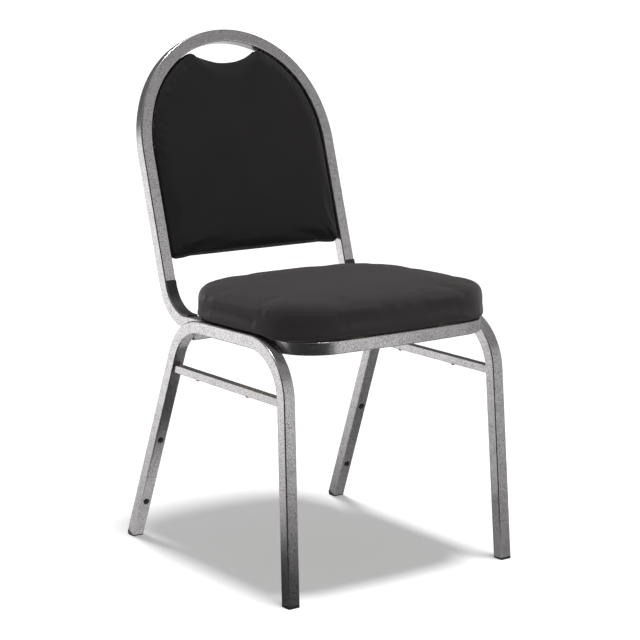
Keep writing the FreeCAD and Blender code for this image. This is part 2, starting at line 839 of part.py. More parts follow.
def seat_dust_cover():
    """Black lining cloth stapled under the board, between the tabs."""
    half, front, rear = size("dust_half_width"), size("dust_front_y"), size("dust_rear_y")
    place = seat_plane(board_low() - size("dust_thick"))
    corner = size("tube_side")
    points = [(-half, front), (half, front), (half, rear), (-half, rear)]
    outline = rounded_path(points, [corner] * 4, closed=True)
    return block("seat_dust_cover", outline, place, "dust_thick")


def tab(label, place, reach, length, thick, hole_x, shank):
    """A steel plate welded to a tube, with one screw hole hole_x from its middle."""
    body = new_body(label)
    sketch = new_sketch(body, "Plate", place)
    draw_rectangle(sketch, reach, length, size(reach), size(length))
    pad(body, sketch, thick)
    lift = FreeCAD.Placement(Vector(hole_x, 0, size(thick)), FreeCAD.Rotation())
    hole = new_sketch(body, "ScrewHole", place.multiply(lift))
    draw_circle(hole, "Dims.%s + Dims.hole_play" % shank, size(shank) + size("hole_play"))
    pocket_through(body, hole)
    return body


def seat_tab(name, side, y):
    inner = size("hoop_half_width") - size("tube_side")
    middle = side * (inner - size("tab_reach") / 2)
    place = seat_plane(board_low() - size("tab_thick"), middle, size(y))
    hole_x = side * size("seat_screw_x") - middle
    return tab("seat_tab_" + name, place, "tab_reach", "tab_length", "tab_thick", hole_x,
               "screw_shank")


def screw(place, shank, head, head_high, long):
    """A pan-head machine screw. The placement is under its head, y along the shank."""
    body = new_body("screw")
    r, wide, high = size(shank) / 2, size(head) / 2, size(head_high)
    outline = [(0, -high), (0.7 * wide, -high), (wide, -0.5 * high), (wide, 0), (r, 0),
               (r, size(long)), (0, size(long))]
    revolve(body, outline, place)
    return body


def tee_nut(place, shank):
    """A flanged barrel nut sunk in a board. y runs out through the flange."""
    body = new_body("tee_nut")
    bore, barrel = (size(shank) + size("hole_play")) / 2, size("nut_barrel") / 2
    flange, high = size("nut_flange") / 2, size("nut_flange_high")
    low = -size("nut_long")
    outline = [(bore, low), (barrel, low), (barrel, -high), (flange, -high), (flange, 0), (bore, 0)]
    revolve(body, outline, place)
    return body


def washer(place):
    body = new_body("washer")
    bore = (size("screw_shank") + size("hole_play")) / 2
    outside, thick = size("washer_side") / 2, size("washer_thick")
    revolve(body, [(bore, 0), (outside, 0), (outside, thick), (bore, thick)], place)
    return body


def group(label, bodies):
    """Identical fasteners, kept as separate solids in one node."""
    compound = doc.addObject("Part::Compound", label)
    compound.Label = label
    compound.Links = bodies
    return compound


def turned_up(x, y, lift):
    """A placement for a turned piece whose axis, local y, points up out of the seat."""
    spot = seat_plane(lift, x, y)
    return spot.multiply(FreeCAD.Placement(Vector(), FreeCAD.Rotation(X_AXIS, 90)))


def seat_fasteners():
    under_tab = board_low() - size("tab_thick")
    under_washer = under_tab - size("washer_thick")
    board_top = board_low() + size("board_thick")
    spots = seat_spots()
    washers = [washer(turned_up(x, y, under_washer)) for x, y in spots]
    screws = [screw(turned_up(x, y, under_washer), "screw_shank", "screw_head",
                    "screw_head_high", "screw_long") for x, y in spots]
    nuts = [tee_nut(turned_up(x, y, board_top), "screw_shank") for x, y in spots]
    return [group("seat_washers", washers), group("seat_screws", screws),
            group("seat_tee_nuts", nuts)]


# ---------------------------------------------------------------- back pad

def pad_outline(inset):
    """The back pad's outline in the hoop's plane: it fills the hoop under a scooped handhold."""
    deep = size("tube_side") / 2 + size("pad_gap") + inset
    half = hoop_half() - deep
    spring = hoop_top()[1]
    bottom, corner = size("pad_bottom") + inset, size("pad_corner")
    shoulder_centre, shoulder, crown_centre, crown, joint = arch(deep)
    scoop = size("scoop_radius") + inset
    scoop_y = size("scoop_low") + size("scoop_radius")
    crown_y = crown_centre.y
    tip_y = (scoop ** 2 - crown ** 2 + crown_y ** 2 - scoop_y ** 2) / (2 * (crown_y - scoop_y))
    tip = Vector(math.sqrt(crown ** 2 - (tip_y - crown_y) ** 2), tip_y, 0)
    high = Vector(half, spring, 0)
    sides = rounded_path([(-half, spring), (-half, bottom), (half, bottom), (half, spring)],
                         [corner] * 4)
    over = [arc_about(shoulder_centre, high, joint), arc_about(crown_centre, joint, tip),
            Part.Arc(tip, Vector(0, scoop_y - scoop, 0), mirror_x(tip)),
            arc_about(crown_centre, mirror_x(tip), mirror_x(joint)),
            arc_about(mirror_x(shoulder_centre), mirror_x(joint), mirror_x(high))]
    return sides + over


def back_spots():
    """Where the pad's four tabs are fastened, in the hoop's plane."""
    return [(side * size("back_screw_x"), size(y))
            for y in ("back_tab_lower", "back_tab_upper") for side in (-1, 1)]


def in_hoop(x, y, lift):
    """A placement over a spot of the hoop's plane, facing forward."""
    plane = hoop_plane(lift)
    return frame(plane.multVec(Vector(x, y, 0)), X_AXIS, plane.Rotation.multVec(Z_AXIS))


def turned_forward(x, y, lift):
    """A placement for a turned piece whose axis, local y, points forward."""
    spot = in_hoop(x, y, lift)
    return spot.multiply(FreeCAD.Placement(Vector(), FreeCAD.Rotation(X_AXIS, 90)))


def back_board():
    """The plywood core of the back pad, drilled for its four tee nuts."""
    body = back_board_block("back_board")
    front = size("back_board_back") + size("back_board_thick")
    for x, y in back_spots():
        drill_for_nut(body, in_hoop(x, y, front))
    return body


def back_board_block(label):
    return block(label, pad_outline(size("back_board_inset")),
                 hoop_plane(size("back_board_back")), "back_board_thick")


def back_block(label, inset):
    """The outside of the back pad, or the foam's outside when inset by the cloth."""
    place = hoop_plane(size("pad_cover_back"))
    room = "Dims.pad_cover_front - Dims.pad_cover_back"
    radius = "Dims.pad_front_round"
    if inset > 0:
        room = room + " - Dims.back_cloth"
        radius = radius + " - Dims.back_cloth"
    body = block(label, pad_outline(inset), place, room)
    round_rim(body, place, size("pad_cover_front") - size("pad_cover_back") - inset, radius)
    return body


def back_pad():
    """Foam over the board, and the cloth over the foam."""
    board_shape = back_board_block("back_board_room")
    foam_shape = back_block("back_foam_block", size("back_cloth"))
    foam = subtract("back_foam", foam_shape, [board_shape])
    cover = subtract("back_cover", back_block("back_cover_block", 0.0), [foam_shape])
    return foam, cover


def back_rear_panel():
    """The thin upholstered panel that closes the back of the pad."""
    place = hoop_plane(size("rear_panel_back"))
    return block("back_rear_panel", pad_outline(size("rear_panel_inset")), place,
                 "rear_panel_thick")


def back_tab(name, side, y):
    inner = size("hoop_half_width") - size("tube_side")
    middle = side * (inner - size("back_tab_reach") / 2)
    place = in_hoop(middle, size(y), size("back_board_back") - size("back_tab_thick"))
    hole_x = side * size("back_screw_x") - middle
    return tab("back_tab_" + name, place, "back_tab_reach", "back_tab_length", "back_tab_thick",
               hole_x, "back_screw_shank")


def back_fasteners():
    behind_tab = size("back_board_back") - size("back_tab_thick")
    board_front = size("back_board_back") + size("back_board_thick")
    spots = back_spots()
    screws = [screw(turned_forward(x, y, behind_tab), "back_screw_shank", "back_screw_head",
                    "back_screw_head_high", "back_screw_long") for x, y in spots]
    nuts = [tee_nut(turned_forward(x, y, board_front), "back_screw_shank") for x, y in spots]
    return [group("back_screws", screws), group("back_tee_nuts", nuts)]


# ---------------------------------------------------------------- the whole chair

def build():
    """Makes every sub-part and returns the ones that are written out."""
    parts = []
    for name, side in SIDES.items():
        parts.append(leg_frame(name, side))
        parts.append(side_stretcher(name, side))
        parts.append(bend_guard(name, side))
        for end in ("front", "rear"):
            parts.append(foot_glide("foot_glide_%s_%s" % (name, end), side, end))
            parts.append(stretcher_bumper("stretcher_bumper_%s_%s" % (name, end), side,
                                          size("bumper_%s_y" % end)))
            parts.append(seat_tab("%s_%s" % (name, end), side, "seat_tab_%s_y" % end))
        for end in ("upper", "lower"):
            parts.append(leg_bumper("leg_bumper_%s_%s" % (name, end), side,
                                    size("button_%s_z" % end)))
            parts.append(back_tab("%s_%s" % (name, end), side, "back_tab_" + end))
    parts += [back_frame(), seat_front_rail(), rear_cross_rail()]
    parts += [seat_board(), seat_dust_cover()]
    parts += seat_cushion()
    parts += seat_fasteners()
    parts += [back_board(), back_rear_panel()]
    parts += back_pad()
    parts += back_fasteners()
    return parts


def check(parts):
    """Stops if any object failed or any sub-part has no sound solid."""
    for item in doc.Objects:
        if "Invalid" in item.State or "Error" in item.State:
            raise RuntimeError("%s (%s) failed: %s" % (item.Name, item.Label, item.State))
    for part in parts:
        shape = part.Shape
        if shape.isNull() or not shape.isValid() or not shape.Solids:
            raise RuntimeError("%s has no valid solid" % part.Label)


PARTS = build()
doc.recompute()
check(PARTS)
os.makedirs("parts", exist_ok=True)
for part in PARTS:
    part.Shape.exportStep("parts/%s.step" % part.Label)
print("parts written:", len(PARTS))
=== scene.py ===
"""A stacking banquet chair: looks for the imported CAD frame, in metres, +Z up, sitter facing -Y."""
import bpy
import json
import math
import numpy as np
from mathutils import Matrix, Vector


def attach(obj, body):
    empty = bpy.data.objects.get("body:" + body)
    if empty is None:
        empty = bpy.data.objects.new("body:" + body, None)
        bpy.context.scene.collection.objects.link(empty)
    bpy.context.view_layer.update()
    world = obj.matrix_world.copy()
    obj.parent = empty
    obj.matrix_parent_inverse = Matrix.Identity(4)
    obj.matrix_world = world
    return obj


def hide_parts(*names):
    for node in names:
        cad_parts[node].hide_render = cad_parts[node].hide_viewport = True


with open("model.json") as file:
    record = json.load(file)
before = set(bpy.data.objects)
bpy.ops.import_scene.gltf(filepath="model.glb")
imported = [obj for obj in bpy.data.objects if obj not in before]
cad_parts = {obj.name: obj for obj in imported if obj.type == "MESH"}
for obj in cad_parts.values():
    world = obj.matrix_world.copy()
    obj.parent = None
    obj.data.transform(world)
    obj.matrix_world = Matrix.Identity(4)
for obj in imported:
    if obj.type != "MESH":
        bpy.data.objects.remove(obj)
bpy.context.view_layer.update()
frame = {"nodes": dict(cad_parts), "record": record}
nodes = frame["nodes"]
scene = bpy.context.scene

# ---------------------------------------------------------------- sizes and places, as in the CAD

MM = 0.001
TUBE = 22.2 * MM
# the hoop's centre line, in its own leaning plane, measured from where that meets the seat frame
HOOP_HALF = 208.0 * MM - TUBE / 2
HOOP_LEAN = math.radians(16.9)
HOOP_FOOT_Y = 134.3 * MM
ARCH_TOP, ARCH_SPRING = 503.7 * MM, 295.3 * MM
SHOULDER_RADIUS = 229.0 * MM
SCOOP_CENTRE, SCOOP_RADIUS = 581.5 * MM, 127.0 * MM
PAD_BOTTOM, PAD_CORNER = 104.0 * MM, 12.0 * MM
# the seat frame's plane, and heights above it
SEAT_TILT = math.radians(1.0)
SEAT_FRAME_Z = 420.15 * MM
BOARD_LOW, BOARD_TOP = TUBE / 2, TUBE / 2 + 12.0 * MM
RAIL_TOP = 14.7 * MM


def plane_matrix(spot, across, up):
    """A local frame with x across, y up a plane and z out of it."""
    out = across.cross(up)
    matrix = Matrix((across, up, out)).transposed().to_4x4()
    matrix.translation = spot
    return matrix


def seat_matrix():
    """The plane of the seat frame's centre line, which falls slightly to the back."""
    back = Vector((0, math.cos(SEAT_TILT), -math.sin(SEAT_TILT)))
    return plane_matrix(Vector((0, 0, SEAT_FRAME_Z)), Vector((1, 0, 0)), back)


def hoop_matrix():
    """The hoop's plane: z points forward out of it."""
    up = Vector((0, math.sin(HOOP_LEAN), math.cos(HOOP_LEAN)))
    foot = seat_matrix() @ Vector((0, HOOP_FOOT_Y, 0))
    return plane_matrix(foot, Vector((1, 0, 0)), up)


# ---------------------------------------------------------------- outlines and mesh helpers

def rounded_outline(points, radii, spacing):
    """A closed outline of straight runs and tangent arcs, as evenly spaced (x, y) points."""
    spots = [Vector(p) for p in points]
    count = len(spots)
    curves = []
    for i in range(count):
        before = (spots[i - 1] - spots[i]).normalized()
        after = (spots[(i + 1) % count] - spots[i]).normalized()
        half = before.angle(after) / 2
        reach = radii[i] / math.tan(half)
        centre = spots[i] + (before + after).normalized() * (radii[i] / math.sin(half))
        curves.append((spots[i] + before * reach, centre, spots[i] + after * reach))
    outline = []
    for i in range(count):
        begin, centre, end = curves[i]
        outline += arc_points(begin, centre, end, spacing)
        outline += line_points(end, curves[(i + 1) % count][0], spacing)
    return outline


def arc_points(begin, centre, end, spacing):
    """Points along the shorter arc from begin to just before end."""
    first = begin - centre
    turn = first.angle_signed(end - centre)
    steps = max(2, round(abs(turn) * first.length / spacing))
    return [centre + Matrix.Rotation(-turn * i / steps, 2) @ first for i in range(steps)]


def line_points(begin, end, spacing):
    """Points along a straight run from begin to just before end."""
    steps = max(1, round((end - begin).length / spacing))
    return [begin.lerp(end, i / steps) for i in range(steps)]


def new_piece(name, mesh, material):
    """A visible upholstered piece with one material."""
    piece = bpy.data.objects.new(name, mesh)
    scene.collection.objects.link(piece)
    piece.data.materials.clear()
    piece.data.materials.append(material)
    return piece


def prism(name, outline, low, high):
    """A closed block over an outline, in its own local frame."""
    count = len(outline)
    verts = [(p[0], p[1], z) for z in (low, high) for p in outline]
    faces = [list(range(count))[::-1], list(range(count, 2 * count))]
    faces += [(i, (i + 1) % count, (i + 1) % count + count, i + count) for i in range(count)]
    mesh = bpy.data.meshes.new(name)
    mesh.from_pydata(verts, [], faces)
    mesh.update()
    return mesh


def applied(piece):
    """Replaces a piece's mesh by the result of its modifiers, which it then drops."""
    graph = bpy.context.evaluated_depsgraph_get()
    mesh = bpy.data.meshes.new_from_object(piece.evaluated_get(graph))
    piece.modifiers.clear()
    old = piece.data
    piece.data = mesh
    bpy.data.meshes.remove(old)


def coords(mesh):
    flat = np.empty(len(mesh.vertices) * 3)
    mesh.vertices.foreach_get("co", flat)
    return flat.reshape(-1, 3)


def set_coords(mesh, points):
    mesh.vertices.foreach_set("co", points.reshape(-1))
    mesh.update()


def remesh(piece, voxel):
    """Gives a piece an even skin of quads."""
    modifier = piece.modifiers.new("Remesh", "REMESH")
    modifier.mode = "VOXEL"
    modifier.voxel_size = voxel
    applied(piece)


def smooth_step(share):
    """0 to 1 with soft ends, for a share that is clipped to 0..1."""
    share = np.clip(share, 0, 1)
    return share * share * (3 - 2 * share)


def edge_distance(points, outline):
    """Distance of (x, y) points to a closed outline, and the direction away from it."""
    ring = np.array([tuple(p) for p in outline])
    begin, run = ring, np.roll(ring, -1, axis=0) - ring
    best = np.full(len(points), 1e9)
    away = np.zeros((len(points), 2))
    for a, d in zip(begin, run):
        rel = points - a
        t = np.clip(rel @ d / (d @ d), 0, 1)
        gap = rel - t[:, None] * d
        dist = np.hypot(gap[:, 0], gap[:, 1])
        near = dist < best
        best[near] = dist[near]
        away[near] = gap[near]
    length = np.maximum(np.hypot(away[:, 0], away[:, 1]), 1e-9)
    return best, away / length[:, None]


def round_rims(points, outline, low, high, low_radius, high_radius):
    """Pulls the square rims of a block in to quarter circles."""
    dist, inward = edge_distance(points[:, :2], outline)
    for radius, depth, sign in ((high_radius, high - points[:, 2], 1),
                                (low_radius, points[:, 2] - low, -1)):
        side = np.maximum(radius - dist, 0)
        up = np.maximum(radius - depth, 0)
        far = np.maximum(np.hypot(side, up), 1e-9)
        over = (side > 0) & (up > 0) & (far > radius)
        scale = np.where(over, radius / far, 1.0)
        points[:, :2] += inward * (side * (1 - scale))[:, None]
        points[:, 2] -= sign * up * (1 - scale)
    return points


SIM_FRAMES = 20
SIM_PRESSURE = 4.0


def inflate(piece, cap, held):
    """Swells a closed piece with Blender's cloth, pinned where held, moving at most cap."""
    start = coords(piece.data)
    group = piece.vertex_groups.new(name="held")
    group.add([int(i) for i in np.nonzero(held)[0]], 1.0, "REPLACE")
    settings = piece.modifiers.new("Cloth", "CLOTH").settings
    settings.use_pressure = True
    settings.uniform_pressure_force = SIM_PRESSURE
    settings.vertex_group_mass = "held"
    settings.effector_weights.gravity = 0
    for step in range(1, SIM_FRAMES + 1):
        scene.frame_set(step)
    applied(piece)
    scene.frame_set(1)
    piece.vertex_groups.clear()
    move = coords(piece.data) - start
    length = np.maximum(np.linalg.norm(move, axis=1), 1e-9)
    move *= np.minimum(1, cap / length)[:, None]
    set_coords(piece.data, start + move)


def soften(piece, passes):
    """Evens a mesh out, each point half-way to its neighbours in each pass."""
    modifier = piece.modifiers.new("Smooth", "SMOOTH")
    modifier.iterations = passes
    modifier.factor = 0.5
    applied(piece)


def subdivide(piece):
    """Halves a mesh's spacing once and shades it smooth."""
    modifier = piece.modifiers.new("Subdivision", "SUBSURF")
    modifier.levels = 1
    modifier.render_levels = 1
    applied(piece)
    piece.data.shade_smooth()


# ---------------------------------------------------------------- materials

class Nodes:
    """A new material's node tree, with short calls for adding and linking nodes."""

    def __init__(self, name):
        self.material = bpy.data.materials.new(name)
        self.material.use_nodes = True
        self.tree = self.material.node_tree
        self.shader = self.tree.nodes["Principled BSDF"]
        self.place = self.add("ShaderNodeTexCoord").outputs["Object"]

    def add(self, kind, **settings):
        node = self.tree.nodes.new(kind)
        for key, value in settings.items():
            setattr(node, key, value)
        return node

    def link(self, source, target):
        self.tree.links.new(source, target)

    def put(self, socket, value):
        if hasattr(value, "is_linked"):
            self.link(value, socket)
        else:
            socket.default_value = value

    def maths(self, operation, first, second=0.0, third=0.0):
        node = self.add("ShaderNodeMath", operation=operation)
        for socket, value in zip(node.inputs, (first, second, third)):
            self.put(socket, value)
        return node.outputs[0]

    def noise(self, scale, detail=3.0, roughness=0.5, distortion=0.0, place=None):
        node = self.add("ShaderNodeTexNoise")
        self.link(place or self.place, node.inputs["Vector"])
        node.inputs["Scale"].default_value = scale
        node.inputs["Detail"].default_value = detail
        node.inputs["Roughness"].default_value = roughness
        node.inputs["Distortion"].default_value = distortion
        return node.outputs["Fac"]

    def cells(self, scale, feature="F1", place=None):
        node = self.add("ShaderNodeTexVoronoi", feature=feature)
        self.link(place or self.place, node.inputs["Vector"])
        node.inputs["Scale"].default_value = scale
        return node.outputs["Distance"]

    def ramp(self, source, stops):
        """A colour ramp from (position, colour) stops."""
        node = self.add("ShaderNodeValToRGB")
        self.link(source, node.inputs[0])
        elements = node.color_ramp.elements
        for index, (spot, colour) in enumerate(stops):
            element = elements[index] if index < 2 else elements.new(spot)
            element.position = spot
            element.color = (*colour, 1.0)
        return node.outputs[0]

    def spread(self, source, low, high):
        """Maps 0..1 to low..high."""
        node = self.add("ShaderNodeMapRange")
        self.link(source, node.inputs["Value"])
        node.inputs["To Min"].default_value = low
        node.inputs["To Max"].default_value = high
        return node.outputs[0]

    def bump(self, height, distance, strength=1.0, normal=None):
        node = self.add("ShaderNodeBump")
        self.link(height, node.inputs["Height"])
        node.inputs["Distance"].default_value = distance
        node.inputs["Strength"].default_value = strength
        if normal is not None:
            self.link(normal, node.inputs["Normal"])
        return node.outputs[0]

    def bands(self, axis, period):
        """Ridges across one axis, 0 to 1, once every period."""
        parts = self.add("ShaderNodeSeparateXYZ")
        self.link(self.place, parts.inputs[0])
        angle = self.maths("MULTIPLY", parts.outputs[axis], 2 * math.pi / period)
        wave = self.maths("SINE", angle)
        return self.maths("MULTIPLY_ADD", wave, 0.5, 0.5)

    def set(self, **values):
        for key, value in values.items():
            self.put(self.shader.inputs[key.replace("_", " ")], value)


def silver_vein():
    """Silver-vein powder coat: a bright metallic ground under darker, wandering veins."""
    n = Nodes("silver_vein_coat")
    veins = n.cells(260.0, "DISTANCE_TO_EDGE", warped(n, 300.0, 0.0016))
    speck = n.noise(700.0, 4.0, 0.6)
    cloud = n.noise(60.0, 2.0)
    mix = n.maths("MULTIPLY_ADD", speck, 0.55, n.maths("MULTIPLY", veins, 1.1))
    mix = n.maths("MULTIPLY_ADD", cloud, 0.25, mix)
    colour = n.ramp(mix, [(0.34, (0.29, 0.277, 0.281)), (0.70, (0.56, 0.539, 0.546)),
                          (0.5, (0.44, 0.424, 0.43))])
    n.set(Base_Color=colour, Metallic=0.9, Roughness=n.spread(mix, 0.30, 0.20),
          Normal=n.bump(mix, 0.00006, 0.3))
    n.shader.inputs["Coat Weight"].default_value = 0.25
    n.shader.inputs["Coat Roughness"].default_value = 0.1
    return n.material


def warped(n, scale, amount):
    """The object coordinates, pushed about by noise."""
    swirl = n.add("ShaderNodeTexNoise")
    n.link(n.place, swirl.inputs["Vector"])
    swirl.inputs["Scale"].default_value = scale
    push = n.add("ShaderNodeVectorMath", operation="MULTIPLY_ADD")
    n.link(swirl.outputs["Color"], push.inputs[0])
    push.inputs[1].default_value = (amount, amount, amount)
    n.link(n.place, push.inputs[2])
    return push.outputs[0]


def cloth(name, dark, light, period, sheen):
    """Plain-woven upholstery cloth. Each way of facing takes the two thread directions in it."""
    n = Nodes(name)
    facing = n.add("ShaderNodeSeparateXYZ")
    n.link(n.add("ShaderNodeNewGeometry").outputs["Normal"], facing.inputs[0])
    weave = None
    for axis in range(3):
        across = n.maths("SUBTRACT", 1.0, n.maths("ABSOLUTE", facing.outputs[axis]))
        share = n.maths("MULTIPLY", n.bands(axis, period), across)
        weave = share if weave is None else n.maths("ADD", weave, share)
    fuzz = n.noise(2600.0, 4.0, 0.7)
    patch = n.noise(14.0, 3.0)
    height = n.maths("MULTIPLY_ADD", fuzz, 0.8, n.maths("MULTIPLY", weave, 0.6))
    tone = n.maths("MULTIPLY_ADD", patch, 0.35, n.maths("MULTIPLY", height, 0.5))
    colour = n.ramp(tone, [(0.3, dark), (0.85, light)])
    n.set(Base_Color=colour, Roughness=n.spread(fuzz, 0.78, 0.95),
          Normal=n.bump(height, 0.0003, 0.5))
    n.shader.inputs["Sheen Weight"].default_value = sheen
    n.shader.inputs["Sheen Roughness"].default_value = 0.45
    n.shader.inputs["Sheen Tint"].default_value = (1.0, 0.93, 0.94, 1.0)
    n.shader.inputs["Specular IOR Level"].default_value = 0.25
    return n.material


def moulded(name, dark, light, grain, roughness):
    """Moulded plastic or rubber with a fine grain."""
    n = Nodes(name)
    fine = n.noise(grain, 3.0, 0.6)
    broad = n.noise(40.0, 2.0)
    tone = n.maths("MULTIPLY_ADD", broad, 0.5, n.maths("MULTIPLY", fine, 0.5))
    n.set(Base_Color=n.ramp(tone, [(0.3, dark), (0.7, light)]),
          Roughness=n.spread(fine, roughness - 0.06, roughness + 0.08),
          Normal=n.bump(fine, 0.00008, 0.5))
    return n.material


def plywood():
    """Birch ply: long grain on the faces, thin dark glue lines round the edge."""
    n = Nodes("birch_ply")
    stretch = n.add("ShaderNodeMapping")
    n.link(n.place, stretch.inputs["Vector"])
    stretch.inputs["Scale"].default_value = (14.0, 1.0, 14.0)
    grain = n.noise(9.0, 5.0, 0.6, 0.6, stretch.outputs[0])
    plies = n.bands(2, 0.003)
    tone = n.maths("MULTIPLY_ADD", plies, 0.12, grain)
    n.set(Base_Color=n.ramp(tone, [(0.3, (0.36, 0.23, 0.12)), (0.75, (0.62, 0.46, 0.28))]),
          Roughness=n.spread(grain, 0.5, 0.7), Normal=n.bump(grain, 0.0001, 0.4))
    return n.material


def foam():
    n = Nodes("upholstery_foam")
    pores = n.cells(900.0)
    n.set(Base_Color=n.ramp(pores, [(0.1, (0.45, 0.41, 0.28)), (0.6, (0.74, 0.70, 0.54))]),
          Roughness=n.spread(pores, 0.85, 0.95), Normal=n.bump(pores, 0.0004, 0.6))
    return n.material


def zinc():
    n = Nodes("zinc_plate")
    flake = n.cells(700.0)
    n.set(Base_Color=n.ramp(flake, [(0.1, (0.48, 0.48, 0.45)), (0.6, (0.68, 0.68, 0.66))]),
          Metallic=1.0, Roughness=n.spread(flake, 0.28, 0.42), Normal=n.bump(flake, 0.00004, 0.4))
    return n.material


UPHOLSTERY = cloth("black_upholstery", (0.0135, 0.0110, 0.0114), (0.031, 0.0257, 0.0265),
                   0.0016, 0.2)
# The back's cloth is the seat's cloth made darker and less sheeny. That is painted shade: the back
# pad is lit less than the seat top.
SHADED_BACK_UPHOLSTERY = cloth("black_upholstery_painted_shade", (0.0062, 0.0055, 0.0056),
                        (0.0150, 0.0130, 0.0133), 0.0016, 0.12)
FINISHES = {
    "frame_coat": silver_vein(),
    "black_plastic": moulded("black_plastic", (0.010, 0.010, 0.010), (0.022, 0.022, 0.022),
                             1800.0, 0.42),
    "rubber": moulded("black_rubber", (0.008, 0.008, 0.008), (0.018, 0.018, 0.018), 1200.0, 0.62),
    "plywood": plywood(),
    "foam": foam(),
    "upholstery": UPHOLSTERY,
    "lining": cloth("black_lining", (0.008, 0.008, 0.008), (0.02, 0.02, 0.02), 0.0026, 0.05),
    "zinc": zinc(),
}


def finish_cad_nodes():
    """Gives every CAD node the material of its record slot."""
    for row in frame["record"]["subparts"]:
        piece = nodes[row["node"]]
        piece.data.materials.clear()
        piece.data.materials.append(FINISHES[row["material_slot"]])


# ---------------------------------------------------------------- soft goods

def seat_plan(half, front, rear, front_corner, rear_corner):
    """A seat outline: a bowed front, tighter front corners and large rear corners."""
    sweep = 8.0 * MM
    bow = 1400.0 * MM
    points = [(-half, front + sweep), (0, front), (half, front + sweep),
              (half, rear), (-half, rear)]
    radii = [front_corner, bow, front_corner, rear_corner, rear_corner]
    return rounded_outline(points, radii, 6.0 * MM)


def cushion_plan(inset):
    return seat_plan(228.0 * MM - inset, -285.0 * MM + inset, 107.0 * MM - inset,
                     98.0 * MM - inset, 135.0 * MM - inset)


def board_plan(grow):
    return seat_plan(205.5 * MM + grow, -276.0 * MM - grow, 95.0 * MM + grow,
                     82.0 * MM + grow, 112.0 * MM + grow)


CROWN_DEPTH = 30.0 * MM
SIDE_RAIL_FRONT, SIDE_RAIL_INNER = -186.0 * MM, 203.0 * MM
CROSS_RAIL_Y = 55.0 * MM


def seat_cushion():
    """The stuffed seat: crowned on top, with full sides that come down over the board."""
    outline = cushion_plan(2.0 * MM)
    low, high = RAIL_TOP + 0.8 * MM, 70.0 * MM
    piece = new_piece("seat_cushion", prism("seat_cushion", outline, low, high), UPHOLSTERY)
    remesh(piece, 5.0 * MM)
    points = round_rims(coords(piece.data), outline, low, high, 0.5 * MM, 21.0 * MM)
    set_coords(piece.data, crowned(points, outline, high, 7.0 * MM, 110.0 * MM))
    soften(piece, 5)
    inflate(piece, 3.0 * MM, coords(piece.data)[:, 2] < low + 6.0 * MM)
    soften(piece, 2)
    set_coords(piece.data, tucked(coords(piece.data), low))
    subdivide(piece)
    hollow(piece, board_plan(0.7 * MM), BOARD_LOW - 20.0 * MM, BOARD_TOP + 0.6 * MM)
    piece.data.transform(seat_matrix())
    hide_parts("seat_cover", "seat_foam")
    return piece


def crowned(points, outline, high, rise, reach):
    """Lifts the top face towards its middle."""
    inward = smooth_step(edge_distance(points[:, :2], outline)[0] / reach)
    top = np.clip((points[:, 2] - high) / CROWN_DEPTH + 1, 0, 1)
    points[:, 2] += rise * inward * top * top
    return points


def tucked(points, low):
    """Where no side rail lies under it, the lower edge drops onto the front rail."""
    drop = low - BOARD_LOW + 1.0 * MM
    front = np.clip((SIDE_RAIL_FRONT - points[:, 1]) / (14.0 * MM), 0, 1)
    inner = np.clip((SIDE_RAIL_INNER - np.abs(points[:, 0])) / (10.0 * MM), 0, 1)
    inner *= np.clip((CROSS_RAIL_Y - points[:, 1]) / (10.0 * MM), 0, 1)
    near = np.clip(1 - (points[:, 2] - low) / (20.0 * MM), 0, 1)
    points[:, 2] -= drop * np.maximum(front, inner) * near
    return points


def hollow(piece, outline, low, high):
    """Cuts the room of a board out of the underside of a cushion."""
    cutter = bpy.data.objects.new("cutter", prism("cutter", outline, low, high))
    scene.collection.objects.link(cutter)
    modifier = piece.modifiers.new("Boolean", "BOOLEAN")
    modifier.operation = "DIFFERENCE"
    modifier.solver = "EXACT"
    modifier.object = cutter
    applied(piece)
    bpy.data.objects.remove(cutter)


def pad_outline(inset, spacing=4.0 * MM):
    """The back pad in the hoop's plane: it fills the hoop below a scooped handhold."""
    deep = TUBE / 2 + inset
    rise = ARCH_TOP - ARCH_SPRING
    offset = SHOULDER_RADIUS - HOOP_HALF
    crown = (SHOULDER_RADIUS ** 2 - offset ** 2 - rise ** 2) / (2 * (SHOULDER_RADIUS - rise))
    shoulder_centre, crown_centre = Vector((-offset, ARCH_SPRING)), Vector((0, ARCH_TOP - crown))
    meet = (crown_centre - shoulder_centre).normalized()
    joint = shoulder_centre + meet * (SHOULDER_RADIUS - deep)
    crown -= deep
    scoop_centre, scoop = Vector((0, SCOOP_CENTRE)), SCOOP_RADIUS + inset
    gap = crown_centre.y - scoop_centre.y
    tip_y = (scoop ** 2 - crown ** 2 + crown_centre.y ** 2 - scoop_centre.y ** 2) / (2 * gap)
    tip = Vector((math.sqrt(crown ** 2 - (tip_y - crown_centre.y) ** 2), tip_y))
    half, bottom, corner = HOOP_HALF - deep, PAD_BOTTOM + inset, PAD_CORNER
    right = line_points(Vector((0, bottom)), Vector((half - corner, bottom)), spacing)
    right += arc_points(Vector((half - corner, bottom)), Vector((half - corner, bottom + corner)),
                        Vector((half, bottom + corner)), spacing)
    right += line_points(Vector((half, bottom + corner)), Vector((half, ARCH_SPRING)), spacing)
    right += arc_points(Vector((half, ARCH_SPRING)), shoulder_centre, joint, spacing)
    right += arc_points(joint, crown_centre, tip, spacing)
    low_middle = Vector((0, scoop_centre.y - scoop))
    right += arc_points(tip, scoop_centre, low_middle, spacing)
    left = [Vector((-p.x, p.y)) for p in reversed(right[1:])]
    return right + [low_middle] + left


